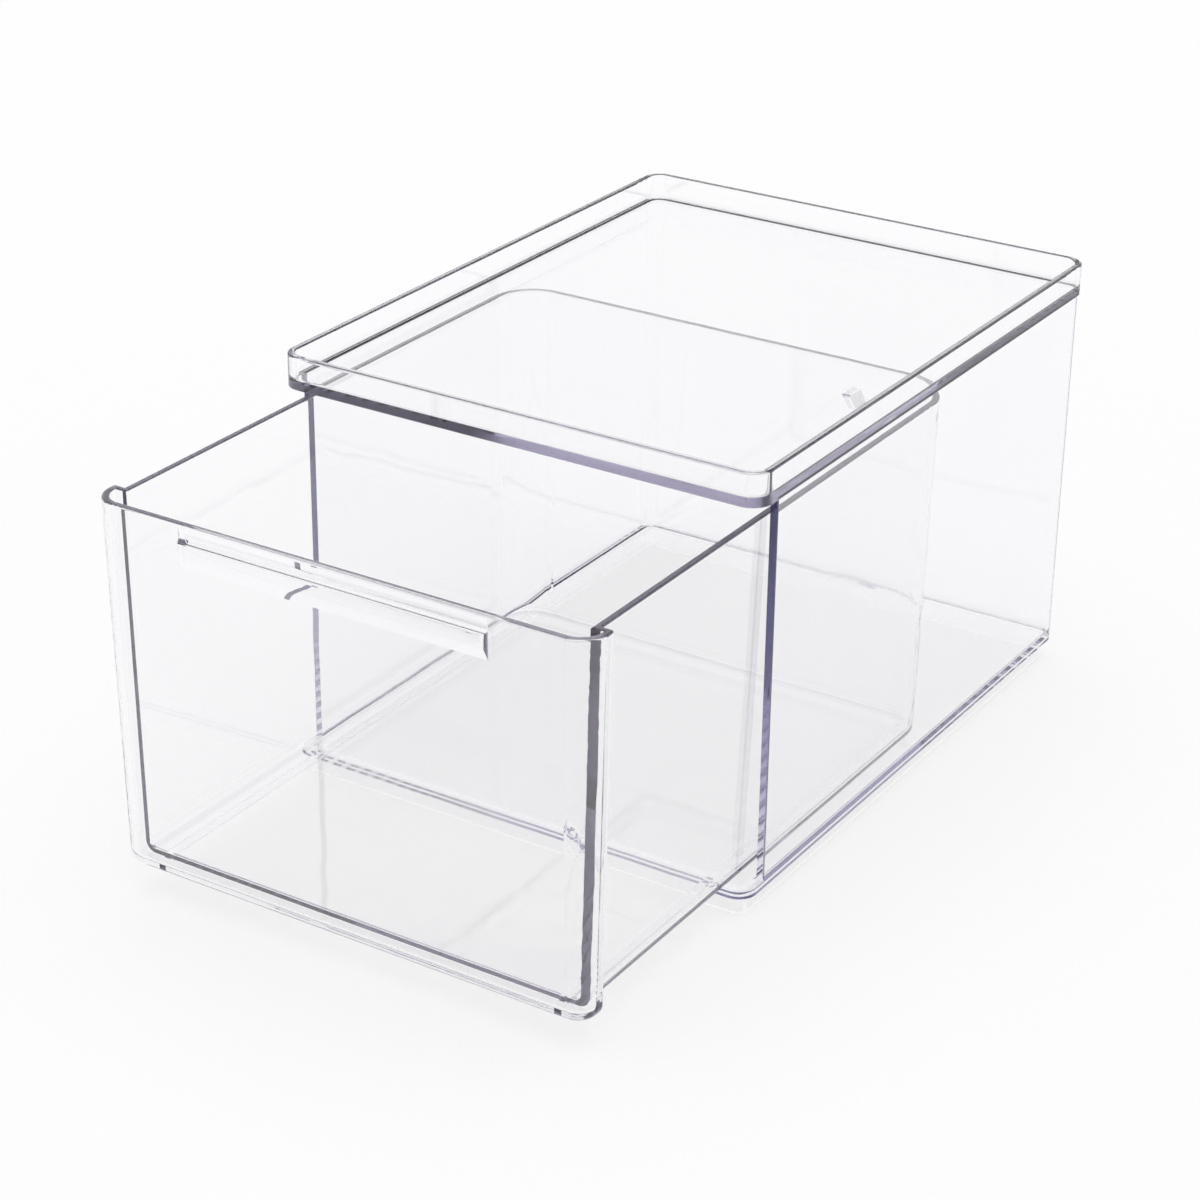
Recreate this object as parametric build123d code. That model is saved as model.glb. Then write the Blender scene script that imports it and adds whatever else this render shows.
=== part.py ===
from build123d import *
import os
from math import radians, tan

# Pull-out storage bin: a clear open-fronted casing, the stacking tray that
# closes its top, and a drawer that slides out through the open front.
# Millimetres. X is the width, Y runs from the front to the back, Z is up.
# The origin lies under the middle of the whole bin, with the drawer pulled
# out as far as rest_pull, on the surface that the foot stands on.

# The whole unit, seen from above: the tray's outline
unit_width = 160.0
unit_depth = 206.0
unit_corner_radius = 6.5

# Stacking tray
plate_thickness = 2.1
lip_height = 8.0          # above the plate, on its upper side
lip_thickness = 2.3
lip_edge_radius = 0.7     # rounding along the lip's upper edges
tray_inner_radius = 1.0   # where the lip meets the plate

# Casing
opening_height = 118.5    # from the casing's floor up to the tray
casing_floor = 2.3
casing_wall = 2.3
casing_inset = 0.6        # the casing stands this far inside the tray's outline
wall_setback = 10.5       # the side walls start this far behind the tray's front
casing_inner_radius = 1.5 # where the walls meet the floor
casing_edge_radius = 0.4  # rounding along the side walls' outer front edges

# Foot ring, which drops inside the lip of a unit below
foot_height = 6.3
foot_wall = 2.2
foot_gap = 0.7            # play between the ring and the lip round it
notch_foot_width = 19.0   # the notch in the back of the ring, along the ground
notch_top_width = 9.3     # and where it meets the floor

# Drawer
drawer_wall = 2.2
drawer_draft = 1.0        # degrees that the walls lean outwards, for the mould
drawer_side_gap = 0.4     # each side, at the rim, which is the widest place
drawer_back_gap = 1.0     # behind the closed drawer
drawer_top_gap = 4.8      # from the rim up to the tray
drawer_back_radius = 15.0
drawer_bottom_radius = 3.5
drawer_inner_radius = 2.0
drawer_rim_radius = 0.6
running_gap = 0.3         # under the runners, and behind the front's shoulders

# Front of the drawer, wider than the tub behind it
front_overlap = 0.4       # the front reaches this far past the tray at each side
front_stand_out = 0.6     # and this far in front of it when the drawer is shut
front_corner_radius = 8.5
shoulder_radius = 1.0     # rounding along the shoulders' outer edges

# Runners under the drawer's floor
runner_width = 2.3
runner_height = 1.7
runner_offset = 67.0      # from the middle of the drawer
runner_end_gap = 9.0      # the runners stop this far short of the tub's back

# Finger pull: a ledge under a scooped groove
pull_width = 99.0
ledge_reach = 1.6         # in front of the drawer's front
ledge_drop = 4.8          # from the rim down to the ledge's top
ledge_face_height = 0.8   # the upright part of the ledge
ledge_belly_radius = 14.8 # the rounded underside, which runs back into the wall
ledge_end_radius = 1.5
ledge_tip_radius = 0.5
groove_radius = 1.4       # where the groove turns out onto the ledge
groove_bite = 0.5         # how deep the groove cuts into the front
groove_margin = 0.3       # flat strip between the rim's rounding and the groove

# Drawer stop under the tray
stop_offset = 61.0        # to the right of the tray's middle
stop_setback = 82.0       # behind the tray's front
stop_length = 6.6
stop_width = 2.5
stop_slant = 4.6          # the stop's tip lies this far behind its root
stop_catch = 1.0          # how far the stop reaches below the drawer's rim

# A front corner's rounding takes up to this share of the depth behind it
largest_share = 0.99

# Travel
rest_pull = 82.4          # how far the drawer stands out of the casing at rest

# Places that follow from the sizes above
casing_half_width = unit_width / 2 - casing_inset
inner_half_width = casing_half_width - casing_wall
floor_z = foot_height + casing_floor
tray_z = floor_z + opening_height
plate_top_z = tray_z + plate_thickness
lip_top_z = plate_top_z + lip_height
rim_z = tray_z - drawer_top_gap

whole_depth = unit_depth + rest_pull + front_stand_out + ledge_reach
back_y = whole_depth / 2
tray_front_y = back_y - unit_depth
casing_back_y = back_y - casing_inset
casing_front_y = tray_front_y + casing_inset
side_wall_front_y = tray_front_y + wall_setback

front_y = tray_front_y - front_stand_out - rest_pull
shoulder_y = side_wall_front_y - running_gap - rest_pull
tub_back_y = casing_back_y - casing_wall - drawer_back_gap - rest_pull
tub_half_width = inner_half_width - drawer_side_gap
front_half_width = unit_width / 2 + front_overlap
drawer_bottom_z = floor_z + running_gap
tub_bottom_z = drawer_bottom_z + runner_height
tub_floor_z = tub_bottom_z + drawer_wall
stop_tip_z = rim_z - stop_catch
ledge_z = rim_z - ledge_drop


def outline(half_width, front, back, front_radius, back_radius, z):
    """A level face at height z. A radius of 0 leaves a pair of corners square."""
    front_radius = min(front_radius, largest_share * (back - front))
    sheet = Pos(0, (front + back) / 2) * Rectangle(2 * half_width, back - front)
    if front_radius:
        sheet = fillet(sheet.vertices().sort_by(Axis.Y)[:2], front_radius)
    if back_radius:
        sheet = fillet(sheet.vertices().sort_by(Axis.Y)[-2:], back_radius)
    return Pos(0, 0, z) * sheet


def block(half_width, front, back, front_radius, back_radius, bottom, top):
    """An upright block on such an outline."""
    face = outline(half_width, front, back, front_radius, back_radius, bottom)
    return extrude(face, top - bottom, dir=(0, 0, 1))


def lean(z):
    """How far a drafted wall has leaned inwards at height z, from its place at the rim."""
    return (rim_z - z) * tan(radians(drawer_draft))


def front_block(grow, bottom, top):
    """The drawer's front with drafted sides and face, grown on all sides."""
    faces = [
        outline(
            front_half_width + grow - lean(z),
            front_y - grow + lean(z),
            shoulder_y + grow,
            front_corner_radius + grow - lean(z),
            0,
            z,
        )
        for z in (bottom, top)
    ]
    return loft(faces, ruled=True)


def tub_block(grow, bottom, top):
    """The tub behind the front, drafted and grown alike, with its front end inside the front."""
    faces = [
        outline(
            tub_half_width + grow - lean(z),
            shoulder_y - 2 * drawer_wall,
            tub_back_y + grow - lean(z),
            0,
            drawer_back_radius + grow - lean(z),
            z,
        )
        for z in (bottom, top)
    ]
    return loft(faces, ruled=True)


def level_edges(solid, z):
    """The edges of a solid that lie at height z."""
    return solid.edges().filter_by_position(Axis.Z, z, z, inclusive=(True, True))


def make_tray():
    """The stacking tray: a plate with a lip round it, and the drawer's stop below."""
    half_width = unit_width / 2
    radius = unit_corner_radius
    tray = block(half_width, tray_front_y, back_y, radius, radius, tray_z, lip_top_z)
    recess = block(
        half_width - lip_thickness,
        tray_front_y + lip_thickness,
        back_y - lip_thickness,
        radius - lip_thickness,
        radius - lip_thickness,
        plate_top_z,
        lip_top_z,
    )
    tray -= fillet(level_edges(recess, plate_top_z), tray_inner_radius)
    return fillet(level_edges(tray, lip_top_z), lip_edge_radius) + make_stop()


def make_stop():
    """A slanted tongue: the drawer's back rides up it going in, and hooks on it coming out."""
    root_front = tray_front_y + stop_setback
    root = plate_top_z - plate_thickness / 2
    slant = stop_slant / (tray_z - stop_tip_z)
    root_shift = slant * (root - tray_z)
    side_view = Polyline(
        (root_front - root_shift, root),
        (root_front + stop_slant, stop_tip_z),
        (root_front + stop_slant + stop_length, stop_tip_z),
        (root_front + stop_length - root_shift, root),
        close=True,
    )
    return extrude(Plane.YZ.offset(stop_offset) * make_face(side_view), stop_width / 2, both=True)


def make_casing():
    """The open-fronted casing on its foot ring."""
    radius = unit_corner_radius - casing_inset
    shell = block(casing_half_width, casing_front_y, casing_back_y, radius, radius, foot_height, tray_z)
    cavity = block(
        inner_half_width,
        casing_front_y - casing_wall,
        casing_back_y - casing_wall,
        casing_wall,
        radius - casing_wall,
        floor_z,
        tray_z,
    )
    shell -= fillet(level_edges(cavity, floor_z).sort_by(Axis.Y)[1:], casing_inner_radius)
    front_cut_depth = side_wall_front_y - casing_front_y
    shell -= Pos(0, casing_front_y + front_cut_depth / 2, floor_z) * Box(
        unit_width,
        front_cut_depth,
        opening_height,
        align=(Align.CENTER, Align.CENTER, Align.MIN),
    )
    front_edges = shell.edges().filter_by(Axis.Z).filter_by_position(
        Axis.Y,
        side_wall_front_y - casing_edge_radius,
        side_wall_front_y + casing_edge_radius,
    ).sort_by(Axis.X)
    shell = fillet([front_edges[0], front_edges[-1]], casing_edge_radius)
    return shell + make_foot()


def make_foot():
    """The ring under the floor, with a tapered notch through its back."""
    inset = lip_thickness + foot_gap
    half_width = unit_width / 2 - inset
    radius = unit_corner_radius - inset
    front = tray_front_y + inset
    back = back_y - inset
    ring = block(half_width, front, back, radius, radius, 0, foot_height)
    ring -= block(
        half_width - foot_wall,
        front + foot_wall,
        back - foot_wall,
        radius - foot_wall,
        radius - foot_wall,
        0,
        foot_height,
    )
    notch = Polyline(
        (-notch_foot_width / 2, 0),
        (-notch_top_width / 2, foot_height),
        (notch_top_width / 2, foot_height),
        (notch_foot_width / 2, 0),
        close=True,
    )
    return ring - extrude(Plane.XZ.offset(-back) * make_face(notch), foot_wall)


def make_drawer():
    """The drawer: a drafted tub whose front steps out to the full width."""
    front = front_block(0, drawer_bottom_z, rim_z)
    front = fillet(level_edges(front, drawer_bottom_z).sort_by(Axis.Y)[:-1], drawer_bottom_radius)
    shoulder = front.faces().sort_by(Axis.Y)[-1]
    front = fillet(shoulder.edges().sort_by(Axis.Z)[:-1], shoulder_radius)
    front_room = front_block(-drawer_wall, drawer_bottom_z + drawer_wall, rim_z)
    low_edges = level_edges(front_room, drawer_bottom_z + drawer_wall).sort_by(Axis.Y)[:-1]
    front_room = fillet(low_edges, drawer_inner_radius)

    tub = tub_block(0, tub_bottom_z, rim_z)
    tub = fillet(level_edges(tub, tub_bottom_z).sort_by(Axis.Y)[1:], drawer_bottom_radius)
    tub_room = tub_block(-drawer_wall, tub_floor_z, rim_z)
    tub_room = fillet(level_edges(tub_room, tub_floor_z).sort_by(Axis.Y)[1:], drawer_inner_radius)

    drawer = front + tub
    for side in (-1, 1):
        drawer += make_runner(side * runner_offset)
    drawer += make_ledge()
    drawer -= front_room
    drawer -= tub_room
    drawer -= make_groove()
    return fillet(level_edges(drawer, rim_z), drawer_rim_radius)


def make_runner(x):
    """A low rib with rounded ends that the drawer slides on."""
    start = shoulder_y - drawer_wall / 2
    end = tub_back_y - runner_end_gap
    plan = Pos(x, (start + end) / 2) * SlotOverall(end - start, runner_width, rotation=90)
    top = tub_bottom_z + drawer_wall / 2
    return extrude(Pos(0, 0, drawer_bottom_z) * plan, top - drawer_bottom_z, dir=(0, 0, 1))


def groove_view():
    """Side view of the groove: it slopes in from the rim and turns out onto the ledge's top."""
    bottom = Pos(front_y + groove_bite - groove_radius, ledge_z + groove_radius) * Circle(groove_radius)
    clear_y = front_y - 2 * ledge_reach
    top_z = rim_z - drawer_rim_radius - groove_margin
    mouth = Polyline((front_y, top_z), (clear_y, top_z), (clear_y, ledge_z))
    return make_hull(bottom.edges() + mouth.edges())


def make_ledge():
    """The ledge that the fingers hold: blunt in front, round below and at its ends."""
    face_y = front_y - ledge_reach
    belly_y = face_y + ledge_belly_radius
    belly_z = ledge_z - ledge_face_height
    low_z = belly_z - ledge_belly_radius
    top_z = ledge_z + groove_radius
    body = make_face(
        Polyline((belly_y, low_z), (belly_y, top_z), (face_y, top_z), (face_y, belly_z))
        + RadiusArc((belly_y, low_z), (face_y, belly_z), ledge_belly_radius)
    )
    side_view = body - groove_view()
    tip = side_view.vertices().sort_by_distance((face_y, ledge_z))[0]
    bar = extrude(Plane.YZ * fillet(tip, ledge_tip_radius), pull_width / 2, both=True)
    plan = outline(pull_width / 2, face_y, belly_y, ledge_end_radius, 0, low_z)
    return bar & extrude(plan, top_z - low_z, dir=(0, 0, 1))


def make_groove():
    """The room above the ledge, cut into the drawer's front."""
    return extrude(Plane.YZ * groove_view(), pull_width / 2, both=True)


casing_body = make_casing()
stacking_tray = make_tray()
drawer_bin = make_drawer()

os.makedirs("parts", exist_ok=True)
export_step(casing_body, "parts/casing_body.step")
export_step(stacking_tray, "parts/stacking_tray.step")
export_step(drawer_bin, "parts/drawer_bin.step")
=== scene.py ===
from math import radians

import bpy
from mathutils import Matrix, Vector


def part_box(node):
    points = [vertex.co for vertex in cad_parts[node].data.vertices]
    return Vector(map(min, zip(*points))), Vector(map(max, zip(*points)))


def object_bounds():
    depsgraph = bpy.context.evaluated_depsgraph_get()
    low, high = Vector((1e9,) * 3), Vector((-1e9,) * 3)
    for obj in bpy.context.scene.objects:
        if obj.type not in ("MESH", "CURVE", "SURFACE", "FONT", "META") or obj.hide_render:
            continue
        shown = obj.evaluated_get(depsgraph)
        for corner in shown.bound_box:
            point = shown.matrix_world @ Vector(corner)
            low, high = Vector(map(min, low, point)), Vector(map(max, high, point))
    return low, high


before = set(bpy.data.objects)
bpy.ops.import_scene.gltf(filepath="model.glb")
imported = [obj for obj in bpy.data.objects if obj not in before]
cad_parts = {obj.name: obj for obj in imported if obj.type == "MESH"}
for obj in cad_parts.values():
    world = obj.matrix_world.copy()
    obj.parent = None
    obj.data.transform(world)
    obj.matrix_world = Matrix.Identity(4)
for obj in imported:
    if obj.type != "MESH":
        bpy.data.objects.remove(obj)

# Metres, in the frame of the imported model: X is the width, Y runs from the
# drawer's front to the back, Z is up.

cad_low, cad_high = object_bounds()
floor_z = cad_low.z

# Camera, at the photograph's viewing angle: angles in degrees, lens and sensor in mm
camera_place = (0.4364, -0.7054, 0.4556)
camera_azimuth = 32.21
camera_elevation = 25.75
camera_roll = 0.69
camera_lens = 91.69
camera_sensor = 36.0

# Studio: the sky's colours by height, as (sine of the elevation, colour)
sky_horizon = (0.60, 0.60, 0.60)
sky_dim = (0.08, 0.083, 0.16)
sky_ceiling = (1.2, 1.2, 1.2)
sky_bands = [
    (0.0, sky_horizon),
    (0.52, sky_horizon),
    (0.57, sky_dim),
    (0.78, sky_dim),
    (0.83, sky_ceiling),
    (1.0, sky_ceiling),
]
sky_strength = 1.6
floor_reach = 25.0        # from the middle to each side
floor_grey = 0.95
floor_glow = 0.78         # share of plain white that the camera, gloss and glass see
most_bounces = 256        # light runs a long way inside the walls

# The tray's plate, as in the model
plate_thickness = 0.0021

# Clear plastic. Its index of refraction is a little below that of polystyrene.
plastic_ior = 1.57
clean_roughness = 0.015
smudge_roughness = 0.04
smudge_length = 0.03
smudge_detail = 3.0
smudge_start = 0.4        # the noise level where smudges begin
smudge_full = 0.7         # and where they are strongest
wave_length = 0.022
wave_height = 0.00007
wave_detail = 1.0
band_roughness = 0.25
edge_roughness = 0.25
edge_depth = 0.0006       # the duller edges reach this far below a node's top
facing_limit = 0.5        # upward part of the normal: upright below it, level above

# What the plastic absorbs per metre is tint_density times one minus its tint
tint_density = 10.0
tints = {
    "casing_body": (0.37, 0.35, 0.58),
    "stacking_tray": (0.66, 0.62, 0.77),
    "drawer_bin": (0.42, 0.37, 0.50),
}


def math_node(tree, operation, first, second=0.0):
    """A math node's result; each operand is a number or an output socket."""
    node = tree.nodes.new("ShaderNodeMath")
    node.operation = operation
    for socket, value in zip(node.inputs, (first, second)):
        if isinstance(value, (int, float)):
            socket.default_value = value
        else:
            tree.links.new(value, socket)
    return node.outputs["Value"]


def noise(tree, place, length, detail):
    """Noise in the object's own space, with features about this long."""
    node = tree.nodes.new("ShaderNodeTexNoise")
    node.inputs["Scale"].default_value = 1 / length
    node.inputs["Detail"].default_value = detail
    tree.links.new(place.outputs["Object"], node.inputs["Vector"])
    return node.outputs["Fac"]


def remap(tree, value, low, high, to_low, to_high):
    """Maps low to high onto to_low to to_high, and holds the ends."""
    node = tree.nodes.new("ShaderNodeMapRange")
    node.inputs["From Min"].default_value = low
    node.inputs["From Max"].default_value = high
    node.inputs["To Min"].default_value = to_low
    node.inputs["To Max"].default_value = to_high
    tree.links.new(value, node.inputs["Value"])
    return node.outputs["Result"]


def upward_part(tree, vector):
    """The Z part of a vector socket."""
    node = tree.nodes.new("ShaderNodeSeparateXYZ")
    tree.links.new(vector, node.inputs["Vector"])
    return node.outputs["Z"]


def band_mask(tree, height, lean, top):
    """One on upright faces lower than top, and zero elsewhere."""
    low = math_node(tree, "LESS_THAN", height, top)
    upright = math_node(tree, "LESS_THAN", math_node(tree, "ABSOLUTE", lean), facing_limit)
    return math_node(tree, "MULTIPLY", low, upright)


def edge_mask(tree, height, lean, bottom):
    """One on faces that look up and are higher than bottom, and zero elsewhere."""
    high = math_node(tree, "GREATER_THAN", height, bottom)
    level = math_node(tree, "GREATER_THAN", lean, facing_limit)
    return math_node(tree, "MULTIPLY", high, level)


def roughened(tree, roughness, mask, level):
    """The roughness, raised to level where the mask is one."""
    return math_node(tree, "MAXIMUM", roughness, math_node(tree, "MULTIPLY", mask, level))


def clear_plastic(name, tint, top, band_top=None):
    """Clear moulded plastic: faint waves, handling haze, duller edges, and a violet tint in depth."""
    material = bpy.data.materials.new(name)
    material.use_nodes = True
    tree = material.node_tree
    tree.nodes.clear()
    out = tree.nodes.new("ShaderNodeOutputMaterial")
    surface = tree.nodes.new("ShaderNodeBsdfPrincipled")
    surface.inputs["Base Color"].default_value = (1, 1, 1, 1)
    surface.inputs["IOR"].default_value = plastic_ior
    surface.inputs["Transmission Weight"].default_value = 1.0
    place = tree.nodes.new("ShaderNodeTexCoord")
    bump = tree.nodes.new("ShaderNodeBump")
    bump.inputs["Strength"].default_value = 1.0
    bump.inputs["Distance"].default_value = wave_height
    tree.links.new(noise(tree, place, wave_length, wave_detail), bump.inputs["Height"])
    tree.links.new(bump.outputs["Normal"], surface.inputs["Normal"])
    smudges = noise(tree, place, smudge_length, smudge_detail)
    roughness = remap(tree, smudges, smudge_start, smudge_full, clean_roughness, smudge_roughness)
    height = upward_part(tree, place.outputs["Object"])
    lean = upward_part(tree, place.outputs["Normal"])
    edges = edge_mask(tree, height, lean, top - edge_depth)
    roughness = roughened(tree, roughness, edges, edge_roughness)
    if band_top is not None:
        band = band_mask(tree, height, lean, band_top)
        roughness = roughened(tree, roughness, band, band_roughness)
    tree.links.new(roughness, surface.inputs["Roughness"])
    inside = tree.nodes.new("ShaderNodeVolumeAbsorption")
    inside.inputs["Color"].default_value = (*tint, 1)
    inside.inputs["Density"].default_value = tint_density
    tree.links.new(surface.outputs["BSDF"], out.inputs["Surface"])
    tree.links.new(inside.outputs["Volume"], out.inputs["Volume"])
    return material


def make_camera():
    """The camera at the photograph's place."""
    data = bpy.data.cameras.new("camera")
    data.lens = camera_lens
    data.sensor_width = camera_sensor
    camera = bpy.data.objects.new("camera", data)
    bpy.context.scene.collection.objects.link(camera)
    turn = (
        Matrix.Rotation(radians(camera_azimuth), 4, "Z")
        @ Matrix.Rotation(radians(90 - camera_elevation), 4, "X")
        @ Matrix.Rotation(radians(camera_roll), 4, "Z")
    )
    camera.matrix_world = Matrix.Translation(camera_place) @ turn
    bpy.context.scene.camera = camera


def make_world():
    """A studio: a white horizon, dim blue walls above it, and a bright ceiling."""
    world = bpy.data.worlds.new("studio")
    bpy.context.scene.world = world
    world.use_nodes = True
    tree = world.node_tree
    background = tree.nodes["Background"]
    place = tree.nodes.new("ShaderNodeTexCoord")
    bands = tree.nodes.new("ShaderNodeValToRGB")
    tree.links.new(upward_part(tree, place.outputs["Generated"]), bands.inputs["Fac"])
    tree.links.new(bands.outputs["Color"], background.inputs["Color"])
    ramp = bands.color_ramp
    while len(ramp.elements) < len(sky_bands):
        ramp.elements.new(1.0)
    for element, (height, color) in zip(ramp.elements, sky_bands):
        element.position = height
        element.color = (*color, 1)
    background.inputs["Strength"].default_value = sky_strength


def floor_white():
    """Pale paper that the camera, gloss and glass see as nearly plain white."""
    material = bpy.data.materials.new("floor_white")
    material.use_nodes = True
    tree = material.node_tree
    tree.nodes.clear()
    out = tree.nodes.new("ShaderNodeOutputMaterial")
    paper = tree.nodes.new("ShaderNodeBsdfDiffuse")
    paper.inputs["Color"].default_value = (floor_grey, floor_grey, floor_grey, 1)
    glow = tree.nodes.new("ShaderNodeEmission")
    rays = tree.nodes.new("ShaderNodeLightPath")
    seen = math_node(tree, "MAXIMUM", rays.outputs["Is Camera Ray"], rays.outputs["Is Glossy Ray"])
    seen = math_node(tree, "MAXIMUM", seen, rays.outputs["Is Transmission Ray"])
    mix = tree.nodes.new("ShaderNodeMixShader")
    tree.links.new(math_node(tree, "MULTIPLY", seen, floor_glow), mix.inputs["Fac"])
    tree.links.new(paper.outputs["BSDF"], mix.inputs[1])
    tree.links.new(glow.outputs["Emission"], mix.inputs[2])
    tree.links.new(mix.outputs["Shader"], out.inputs["Surface"])
    return material


def make_floor():
    """A wide pale floor that looks white and keeps a light shadow."""
    mesh = bpy.data.meshes.new("floor")
    signs = ((-1, -1), (1, -1), (1, 1), (-1, 1))
    corners = [(x * floor_reach, y * floor_reach, floor_z) for x, y in signs]
    mesh.from_pydata(corners, [], [(0, 1, 2, 3)])
    mesh.materials.append(floor_white())
    floor = bpy.data.objects.new("floor", mesh)
    bpy.context.scene.collection.objects.link(floor)


def dress_nodes():
    """Gives each CAD node its clear plastic; the tray's outer band is duller too."""
    plate_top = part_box("casing_body")[1].z + plate_thickness
    for name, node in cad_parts.items():
        band_top = plate_top if name == "stacking_tray" else None
        plastic = clear_plastic(name + "_plastic", tints[name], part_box(name)[1].z, band_top)
        node.data.materials.clear()
        node.data.materials.append(plastic)


make_camera()
make_world()
make_floor()
dress_nodes()

bpy.context.scene.view_settings.view_transform = "Standard"
cycles = bpy.context.scene.cycles
cycles.max_bounces = most_bounces
cycles.transmission_bounces = most_bounces
cycles.glossy_bounces = most_bounces
